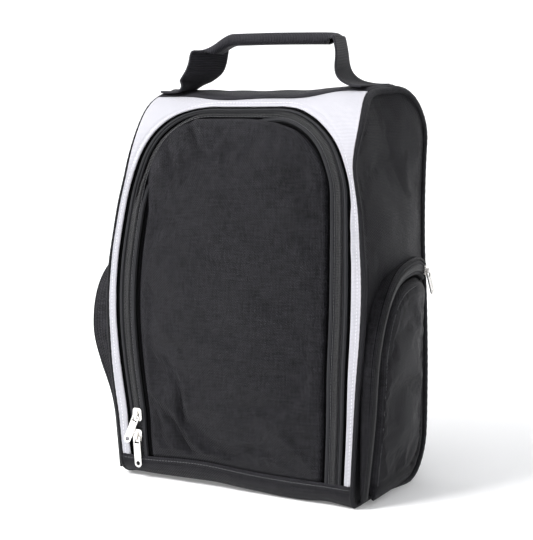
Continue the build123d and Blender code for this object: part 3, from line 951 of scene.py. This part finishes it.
def main_zip():
    """The door's zip. Its inner half, and its coil at the top left corner, lie under the lapping door."""
    foot = SEAM_Z - 3
    x, u = door_edge(0, foot=foot).T
    lines = [shell(*door_edge(offset, foot=foot).T, -height) for offset, height in OUTER_RELIEF]
    coil = shell_line(x, u, -COIL_DEPTH - 0.5 * corner_lap(x, u))
    nodes = ("main_zip_outer_tape",), ("main_zip_outer_coil",)
    zip_half("main_zip_outer", (lines, OUTER_RELIEF, 0.6), coil, 1, -1, "bag", *nodes, None)
    lines = []
    for offset, height in INNER_RELIEF:
        line = door_edge(offset, foot=foot).T
        lines.append(shell(*line, INNER_TUCK * door_lap(*line) - height))
    coil = shell_line(x, u, -COIL_DEPTH - INNER_TUCK * door_lap(x, u))
    nodes = ("door_tape", "door_base_tape"), ("door_coil", "door_base_coil")
    zip_half("main_zip_inner", (lines, INNER_RELIEF, 0.6), coil, -1, 1, None, *nodes, across_door_fold)


def metal_parts():
    """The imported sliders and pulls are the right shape: they get worn edges and nickel."""
    for name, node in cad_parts.items():
        if name.endswith(("slider", "pull")):
            for material in node.material_slots:
                material.material = MATERIALS["nickel"]
            bevel = node.modifiers.new("rounded edges", "BEVEL")
            bevel.width = 0.22 * MM
            bevel.segments = 2
            bevel.limit_method = "ANGLE"
            bevel.angle_limit = radians(40)


# ---------------------------------------------------------------- side pockets
FOOT, SHOULDER, BACK = (np.array(p, float) for p in (POCKET_FOOT, POCKET_SHOULDER, POCKET_BACK))
LEG = np.linalg.norm(SHOULDER - FOOT)
UP = (SHOULDER - FOOT) / LEG
OUT = np.cross(BACK - FOOT, UP)
OUT /= np.linalg.norm(OUT)
ALONG = np.cross(UP, OUT)


def pocket_point(x, y, out=0.0):
    """Points of the pocket's zip plane, in the bag's frame."""
    x, y, out = np.broadcast_arrays(np.asarray(x, float), y, out)
    return FOOT + x[..., None] * ALONG + y[..., None] * UP + out[..., None] * OUT


def pocket_edge(offset, low=-16.0, last=POCKET_END_ANGLE):
    """(x, y) along the pocket's leg and its fuller arc in the zip plane, offset outwards, from its foot."""
    leg = np.column_stack([np.full(40, -offset), np.linspace(low, LEG, 41)[:-1]])
    a = np.radians(np.linspace(180, last, 60))
    r = POCKET_R + offset + 5.0 * np.where(a > pi / 2, np.sin(2 * a) ** 2, 0)
    return np.vstack([leg, np.column_stack([POCKET_R + r * np.cos(a), LEG + r * np.sin(a)])])


# How far each pocket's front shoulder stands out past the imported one, by side.
POCKET_SWELL = {1: -2.5, -1: 15.4}


def mirrored(points, side):
    """Pocket points on their own side of the bag. The left pocket is the fuller one."""
    x, y, z = points.T
    free = np.clip((x - HALF_W) / 11, 0, 1) * (1 - smooth((y + 22) / 50)) * smooth((z - 48) / 85)
    return np.column_stack([side * (x + POCKET_SWELL[side] * free), y, z])


POCKET_BEND = (-4, 22)      # in millimetres across the fold


def pocket_fold_blend(obj, side):
    """Works out the ends of the slanted fold between the bag and the pocket's flap, and bakes the piece's
    placement into its points.
    """
    angle = radians(POCKET_FOLD_ANGLE)
    top = np.array([POCKET_R + POCKET_R * cos(angle), LEG + POCKET_R * sin(angle)])
    foot = np.array([0.0, POCKET_FOLD_V])
    along = (top - foot) / np.linalg.norm(top - foot)
    across = np.array([-along[1], along[0]])
    ends = (pocket_point(*(foot + across * reach)) * (side, 1, 1) * MM for reach in POCKET_BEND)
    start, end = map(tuple, ends)
    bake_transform(obj)
    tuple(start)
    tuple(end)


def pocket_cloth_shape():
    """The pocket's panel from its zip down to the base and back seams, puffed out a little."""
    zip_yz = pocket_point(*pocket_edge(-POCKET_TAPE).T)[:, 1:]
    zip_yz = zip_yz[zip_yz[:, 1] > 7]
    back_u = BACK_TOP_U + HEIGHT - BACK_TOP_R - zip_yz[-1, 1]
    u = np.linspace(back_u, ROUND - FRONT_BASE_R - 18, 60)
    seam = np.column_stack(section(u, POCKET_EDGE - 1.5))
    points, faces, distance = cut_cloth(np.vstack([zip_yz, seam])[::-1])
    by_zip = edge_distance(points, zip_yz, closed=False)
    by_seam = edge_distance(points, seam, closed=False)
    plane_x = FOOT[0] - (OUT[1] * (points[:, 0] - FOOT[1]) + OUT[2] * (points[:, 1] - FOOT[2])) / OUT[0]
    fixed = np.full(len(points), np.nan)
    fixed[by_seam < 0.4] = HALF_W + 1.4
    fixed[by_zip < 0.4] = plane_x[by_zip < 0.4]
    x = membrane(points, faces, fixed, 0.0011)
    return points, faces, distance, by_zip, by_seam, x


def gusset(side, name):
    """The strip that holds the pocket's zip away from the side panel."""
    edge = pocket_edge(POCKET_TAPE)
    top = pocket_point(*edge.T, 0.2)
    keep = (top[:, 2] > 5) & (top[:, 1] < 62)
    top = top[keep]
    depth = (top[:, 0] - (HALF_W - 0.5)) / OUT[0]
    bottom = top - OUT * depth[:, None]
    f = np.linspace(0, 1, 9)
    rows = top[:, None, :] * (1 - f)[None, :, None] + bottom[:, None, :] * f[None, :, None]
    outward = unit(np.column_stack([edge[:, 0] - POCKET_R, np.maximum(edge[:, 1] - LEG, 0)])[keep])
    outward = outward[:, :1] * ALONG + outward[:, 1:] * UP
    bow = np.interp(f, (0, 0.1, 0.25, 0.6, 1), (-0.6, 0.8, 1.0, 1.3, 0.2))
    points = (rows + outward[:, None, :] * bow[None, :, None]).reshape(-1, 3)
    faces = facing(grid_faces(len(top), len(f)), side < 0)
    mesh = mirrored(points, side), faces, weave_grid(travel(top), f * 14)
    soft_piece(f"{name}_pocket_side_strip", mesh, "black_cloth", "bag", (f"{name}_pocket_gusset",), 1.2)


POCKET_STRIP = 12.0       # from a pocket's lower edge to the seam of its base strip
POCKET_STITCHES = 7.0     # from a pocket's edge at its zip to its stitches


def pocket(side, name, shape):
    """A pocket's cloth, with its base strip, its side strip and its zip."""
    points, faces, distance, by_zip, by_seam, x = shape
    uneven = field(points, 41 + side, 34, 1.8) + field(points, 45 + side, 15, 0.4)
    uneven *= smooth((distance - 6) / 22)
    low = 1 - smooth((points[:, 1] - 45) / 30)
    strip_seam = low * np.exp(-(((by_seam - POCKET_STRIP) / 1.3) ** 2))
    lift = sunk_edge(by_zip) * 0.9 + 0.9 * smooth(by_seam / 4) + 1.2 * smooth(distance / 40) + uneven
    lift += low * (1 - smooth((by_seam - POCKET_STRIP + 1.5) / 1.5)) * smooth(by_seam / 3) - strip_seam
    co = mirrored(np.column_stack([x + lift, points]), side)
    wear = 0.3 * np.exp(-(((distance - 4) / 1.2) ** 2))
    # painted shade: darker in the groove by the zip and in the base strip's seam
    shade = np.maximum(1 - smooth((by_zip - 1.2) / 1.6), strip_seam)
    mesh = co, facing(faces, side > 0), points, wear, shade
    nodes = (f"{name}_pocket_flap_panel", f"{name}_pocket_lower_panel")
    held = (distance < 7) | ((low > 0.1) & (by_seam < 14))
    how = dict(thickness=1.6, held=held, pressure=2.0, padding=0.25)
    cloth = soft_piece(f"{name}_pocket_cloth", mesh, "black_cloth", None, nodes, **how)
    pocket_fold_blend(cloth, side)
    gusset(side, name)
    for where, out, body, ends in (("outer", 1, "bag", ("outer",)), ("inner", -1, None, ("flap", "end"))):
        lines = [pocket_point(*pocket_edge(offset * out).T, height) for offset, height in POCKET_RELIEF]
        keep = (lines[0][:, 2] > 6) & (lines[0][:, 1] < 61.5)
        lines = [mirrored(line[keep], side) for line in lines]
        coil = [mirrored(pocket_point(*pocket_edge(0.0).T, height)[keep], side) for height in (0, 1)]
        turn = -1 if out * side > 0 else 1
        ribbon = (lines[::turn], POCKET_RELIEF[::turn], 0.5)
        nodes = [tuple(f"{name}_pocket_{end}_{kind}" for end in ends) for kind in ("tape", "coil")]
        zip_half(
            f"{name}_pocket_{where}", ribbon, coil, out, -out * side, body, *nodes,
            lambda obj: pocket_fold_blend(obj, side),
        )


# ---------------------------------------------------------------- webbing
def strip_wander(x):
    """How far the strip's sewn edges wander along the section."""
    return 1.8 * np.sin(x * 0.075 + 0.6) + 1.2 * np.sin(x * 0.034 - 1.0)


def top_strip():
    """A strip of webbing sewn flat across the top, a little rippled between its stitches."""
    x = np.linspace(-HALF_W + 1.0, HALF_W - 1.0, 150)
    u0, u1 = top_u(STRIP_Y0), top_u(STRIP_Y1)
    grid_x, grid_u = np.meshgrid(x, np.linspace(u0, u1, 21), indexing="ij")
    edge = np.minimum(grid_u - u0, u1 - grid_u)
    ripple = 0.45 * np.sin(grid_x * 0.16 + np.sin(grid_u * 0.2)) * np.exp(-edge / 7) * smooth(edge / 2)
    height = np.interp(edge, (0, 0.6, 2.5), (0.9, 1.7, 1.9)) + ripple
    height *= 0.15 + 0.85 * smooth((HALF_W - 0.5 - np.abs(grid_x)) / 5)
    points = shell(grid_x, grid_u + strip_wander(grid_x), -height)
    uv = np.column_stack([grid_x.ravel(), grid_u.ravel()])
    mesh = points, grid_faces(*edge.shape), uv, 0.4 * np.exp(-edge.ravel() / 1.2)
    soft_piece("top_webbing", mesh, "webbing", "bag", ("top_strip",), 1.6)


GRIP_END, GRIP_W, GRIP_T = 64.0, 19.0, 10.0
HANDLE_SHIFT, HANDLE_DROOP = 6.0, 11.0      # the handle sits off the middle, and its left end droops


def handle_line(side):
    """(x, z) along one half of the handle webbing, from its sewn end to the middle of the grip."""
    foot, top = HEIGHT + 3.6, GRIP_Z + GRIP_T / 2
    right = [(104, 0), (96, 1.0), (86.5, 4.5), (77.5, 11.5), (70.5, 21)]
    left = [(104, -0.6), (94, -0.6), (84.5, 1.0), (78, 9), (73.5, 21)]
    rise = [(112, 0), *(right if side > 0 else left), (GRIP_END + 2, 32)]
    leg = [(x, foot + z) for x, z in rise] + [(GRIP_END, GRIP_Z - 2.0)]
    grip = [(GRIP_END - 1.5, top - 0.6), (GRIP_END - 12, top), (20, top + 0.4), (0, top + 0.5)]
    route = np.array(leg + grip)
    for _ in range(3):
        cut = np.empty((2 * len(route) - 2, 2))
        cut[0::2] = route[:-1] * 0.75 + route[1:] * 0.25
        cut[1::2] = route[:-1] * 0.25 + route[1:] * 0.75
        route = np.vstack([route[:1], cut[1:-1], route[-1:]])
    return route


def folded_section(fold):
    """(across, down) over the webbing's section: flat at fold 0, a closed flat tube at fold 1."""
    flat_half, bend = (GRIP_W - GRIP_T) / 2, GRIP_T / 2
    s = np.linspace(-1, 1, WEB_COUNT)
    length = abs(s) * (2 * flat_half + pi * bend)
    turn = np.clip((length - flat_half) / bend, 0, pi)
    across = np.minimum(length, flat_half) + bend * np.sin(turn)
    across -= np.maximum(length - flat_half - pi * bend, 0)
    tube = np.column_stack([np.sign(s) * across, bend * (1 - np.cos(turn))])
    flat = np.column_stack([s * WEB_W / 2, np.zeros(WEB_COUNT)])
    return flat * (1 - fold) + tube * fold


def handle():
    """One length of webbing: flat sewn ends, legs that splay and bend, and a grip folded into a tube."""
    route = np.vstack([handle_line(1), (handle_line(-1) * (-1, 1))[::-1][1:]])
    length = travel(route)
    at = np.arange(0, length[-1], 1.5)
    route = np.column_stack([np.interp(at, length, route[:, k]) for k in range(2)])
    tangent = unit(np.gradient(route, axis=0))
    points = []
    for (x, z), (tx, tz) in zip(route, tangent):
        side = 1 if x > 0 else -1
        fold = float(smooth((GRIP_END + 0.5 - abs(x)) / 13) * smooth((z - GRIP_Z + 4) / 8))
        up = float(smooth((z - HEIGHT - 6) / 26))
        lean, lifted = (6.5 + 1.5 * up, (z - HEIGHT - 5) / 12) if x < 0 else (3.6, (112 - x) / 24)
        splay = lean * float(smooth(lifted)) * (1 - fold)
        for across, down in folded_section(fold):
            px = x - side * (abs(tz) * down + splay * across / (WEB_W / 2))
            droop = HANDLE_DROOP * up * float(smooth((-36.0 - px) / 28))
            points.append((px + HANDLE_SHIFT, WEB_Y + across, z - abs(tx) * down - droop))
    points = np.array(points)
    low = 1 - smooth((points[:, 2] - HEIGHT - 4) / np.where(points[:, 0] > 0, 36, 20))
    points = points * (1 - low[:, None]) + settle(points - (HANDLE_SHIFT, 0, 0)) * low[:, None]
    uv = weave_grid(at, np.linspace(0, WEB_W, WEB_COUNT))
    wear = np.tile([0.35] + [0.06] * (WEB_COUNT - 2) + [0.35], len(at))
    mesh = points, grid_faces(len(at), WEB_COUNT), uv, wear
    sides = [f"{name}_handle_{end}" for end in ("leg", "anchor") for name in ("left", "right")]
    obj = soft_piece("handle_webbing", mesh, "webbing", None, ("handle_grip", *sides), 1.7)
    bend_between(obj)


# ---------------------------------------------------------------- inside
def inside_lining():
    """The lining all round the inside, and the tapes that bind its side seams."""
    reach = HALF_W - 3.6

    def place(points, distance):
        height = smooth(distance / 25) * (field(points, 51, 44, 1.4) + 0.5)
        return shell(*points.T, LINING_DEPTH + 0.2 + height)

    wrap = wrap_outline(top_u(TOP_SEAM_Y), BASE_TOP_U, reach)
    for name, outline in (("wrap_lining", wrap), ("yoke_lining", yoke_outline(reach, 8.0))):
        cloth_panel(name, outline, place, "lining_cloth", "bag", ("body_lining",), 7.0, thickness=0.5)
    points, faces, distance = cut_cloth(side_outline(4.4), 7.0)
    u = np.linspace(0, ROUND, 301)[:-1]
    # (distance in from the side panel, depth under the wrapped panels) across a binding
    tape = ((3.8, 5.0), (4.2, 6.0), (8.5, 5.2), (11.8, 4.9))
    for side, name in SIDES:
        height = 4.4 + smooth(distance / 25) * (0.5 + field(points, 57 + side, 44, 1.2))
        co = settle(np.column_stack([side * (HALF_W - height), points]))
        obj = new_mesh(f"{name}_side_lining", co, facing(faces, side < 0), points)
        finish_piece(obj, "lining_cloth", "bag", ("body_lining",))
        lines = []
        for inset, depth in tape:
            lines.append(np.column_stack([np.full(len(u), side * (HALF_W - inset)), *section(u, depth)]))
        binding = new_mesh(f"{name}_seam_tape", *hoop_mesh(u, lines, 2.6, True))
        finish_piece(binding, "binding_tape", "bag", (f"{name}_seam_binding",))


# ---------------------------------------------------------------- stitching
def stitching():
    """The rows of stitches along the straight seams, the yoke and the door."""
    across = np.linspace(-HALF_W + 4, HALF_W - 4, 120)
    # (length along the section, height) of each straight row
    strip = (top_u(STRIP_Y0 + 2.2), 2.1), (top_u(STRIP_Y1 - 2.2), 2.1)
    seams = ((BASE_TOP_U - 3.2, 1.35), (BACK_SEAM_U + 4.0, 0.9), *strip)
    rows = [shell_line(across, np.full_like(across, u), height) for u, height in seams]
    stitch_row("base_and_strip_stitches", rows, "binding_tape", "bag", BLACK_THREAD)
    stitch_row("yoke_stitches", [door_line(TAPE_OUT + 5.9, 0.35)], "white_cloth", "bag", WHITE_THREAD)
    door = [door_line(-3.9, -0.4)]
    across_door_fold(stitch_row("door_stitches", door, "binding_tape", None, BLACK_THREAD))


def pocket_stitching(side, name, shape):
    points, faces, distance, by_zip, by_seam, x = shape
    path = pocket_edge(-POCKET_TAPE - POCKET_STITCHES)
    low = pocket_point(*path.T)
    low = low[(low[:, 2] > 12) & (low[:, 1] < 55)]
    near = np.array([np.argmin(np.hypot(*(points - q[1:]).T)) for q in low])
    low[:, 0] = x[near] + sunk_edge(POCKET_STITCHES) * 0.9 + 0.9 * smooth(by_seam[near] / 4) + 0.4
    high = low + (1, 0, 0)
    paths = [(mirrored(low, side), mirrored(high, side))]
    row = stitch_row(f"{name}_pocket_stitches", paths, "binding_tape", None, BLACK_THREAD)
    pocket_fold_blend(row, side)


# ---------------------------------------------------------------- stage
# In metres: how far the floor reaches, the bend up into its backdrop, and the backdrop's height.
FLOOR_R, FLOOR_BEND, FLOOR_TOP, FLOOR_SPOKES = 2.6, 1.2, 4.0, 64


def stage():
    """A pale round floor that curves up into a backdrop and glows, a painted glow that is brighter behind the
    bag than behind the camera and fainter to the camera's right.
    """
    mesh = bpy.data.meshes.new("floor")
    profile = [(r, 0.0) for r in (0.0, 0.5, 1.0, 1.8, FLOOR_R)]
    for a in np.linspace(0, pi / 2, 12)[1:]:
        profile.append((FLOOR_R + FLOOR_BEND * sin(a), FLOOR_BEND - FLOOR_BEND * cos(a)))
    profile.append((FLOOR_R + FLOOR_BEND, FLOOR_TOP))
    turns = [tau * k / FLOOR_SPOKES for k in range(FLOOR_SPOKES)]
    points = [(r * cos(a), r * sin(a), z) for r, z in profile for a in turns]
    mesh.from_pydata(points, [], facing(grid_faces(len(profile), FLOOR_SPOKES, closed=True), False))
    mesh.shade_smooth()
    floor = bpy.data.objects.new("floor", mesh)
    bpy.context.scene.collection.objects.link(floor)
    n = Nodes("pale_floor")
    tone = n.mix(n.noise(n.place(), 2.0), (0.86, 0.86, 0.865), (0.90, 0.90, 0.905))
    x, y = (n.add("ShaderNodeSeparateXYZ", axis, {0: n.place()}) for axis in "XY")
    behind = n.plus(n.plus(n.times(y, 0.6), 0.45), n.times(x, -0.35))
    n.set(Base_Color=tone, Roughness=0.8, Specular_IOR_Level=0.1)
    # painted glow: the floor's emission lights the bag and whitens the backdrop, stronger behind the bag and
    # fainter to the camera's right
    n.set(Emission_Color=(1, 1, 1), Emission_Strength=n.span(behind, 0.0, 0.42))
    mesh.materials.append(n.material)
    floor.rotation_euler = (0, 0, radians(CAMERA_AZIMUTH))


CAMERA_AZIMUTH, CAMERA_ELEVATION, CAMERA_DISTANCE, CAMERA_LENS = 28.2, 7.46, 1.2, 91.1
CAMERA_TARGET, LAMP_TARGET = (-0.0025, 0, 0.1835), (0, 0, 0.18)


def aimed(name, data, azimuth, elevation, distance, target):
    """A lamp or camera at a bearing from its target, in degrees and metres, and turned to face it."""
    a, e = radians(azimuth), radians(elevation)
    obj = bpy.data.objects.new(name, data)
    obj.location = Vector(target) + distance * Vector((sin(a) * cos(e), -cos(a) * cos(e), sin(e)))
    obj.rotation_euler = (Vector(target) - obj.location).to_track_quat("-Z", "Y").to_euler()
    bpy.context.scene.collection.objects.link(obj)
    return obj


def lamp(name, azimuth, elevation, distance, size, watts):
    """A soft square light."""
    data = bpy.data.lights.new(name, "AREA")
    data.size, data.energy = size, watts
    aimed(name, data, azimuth, elevation, distance, LAMP_TARGET)


def camera():
    data = bpy.data.cameras.new("camera")
    data.lens = CAMERA_LENS
    place = CAMERA_AZIMUTH, CAMERA_ELEVATION, CAMERA_DISTANCE
    bpy.context.scene.camera = aimed("camera", data, *place, CAMERA_TARGET)


def lights():
    world = bpy.data.worlds.new("studio")
    world.use_nodes = True
    background = world.node_tree.nodes["Background"].inputs
    background["Color"].default_value = (0.95, 0.97, 1.0, 1)
    background["Strength"].default_value = 0.36
    bpy.context.scene.world = world
    lamp("key", -32, 42, 1.9, 0.7, 48)
    lamp("fill", 50, 22, 2.0, 1.4, 0.3)
    lamp("top", -20, 78, 1.8, 1.2, 15)
    bpy.context.scene.view_settings.view_transform = "Standard"


door_panel()
yoke()
back_and_base()
side_panels()
piping()
main_zip()
metal_parts()
pocket_shape = pocket_cloth_shape()
for side, name in SIDES:
    pocket(side, name, pocket_shape)
    pocket_stitching(side, name, pocket_shape)
top_strip()
handle()
inside_lining()
stitching()
stage()
camera()
lights()
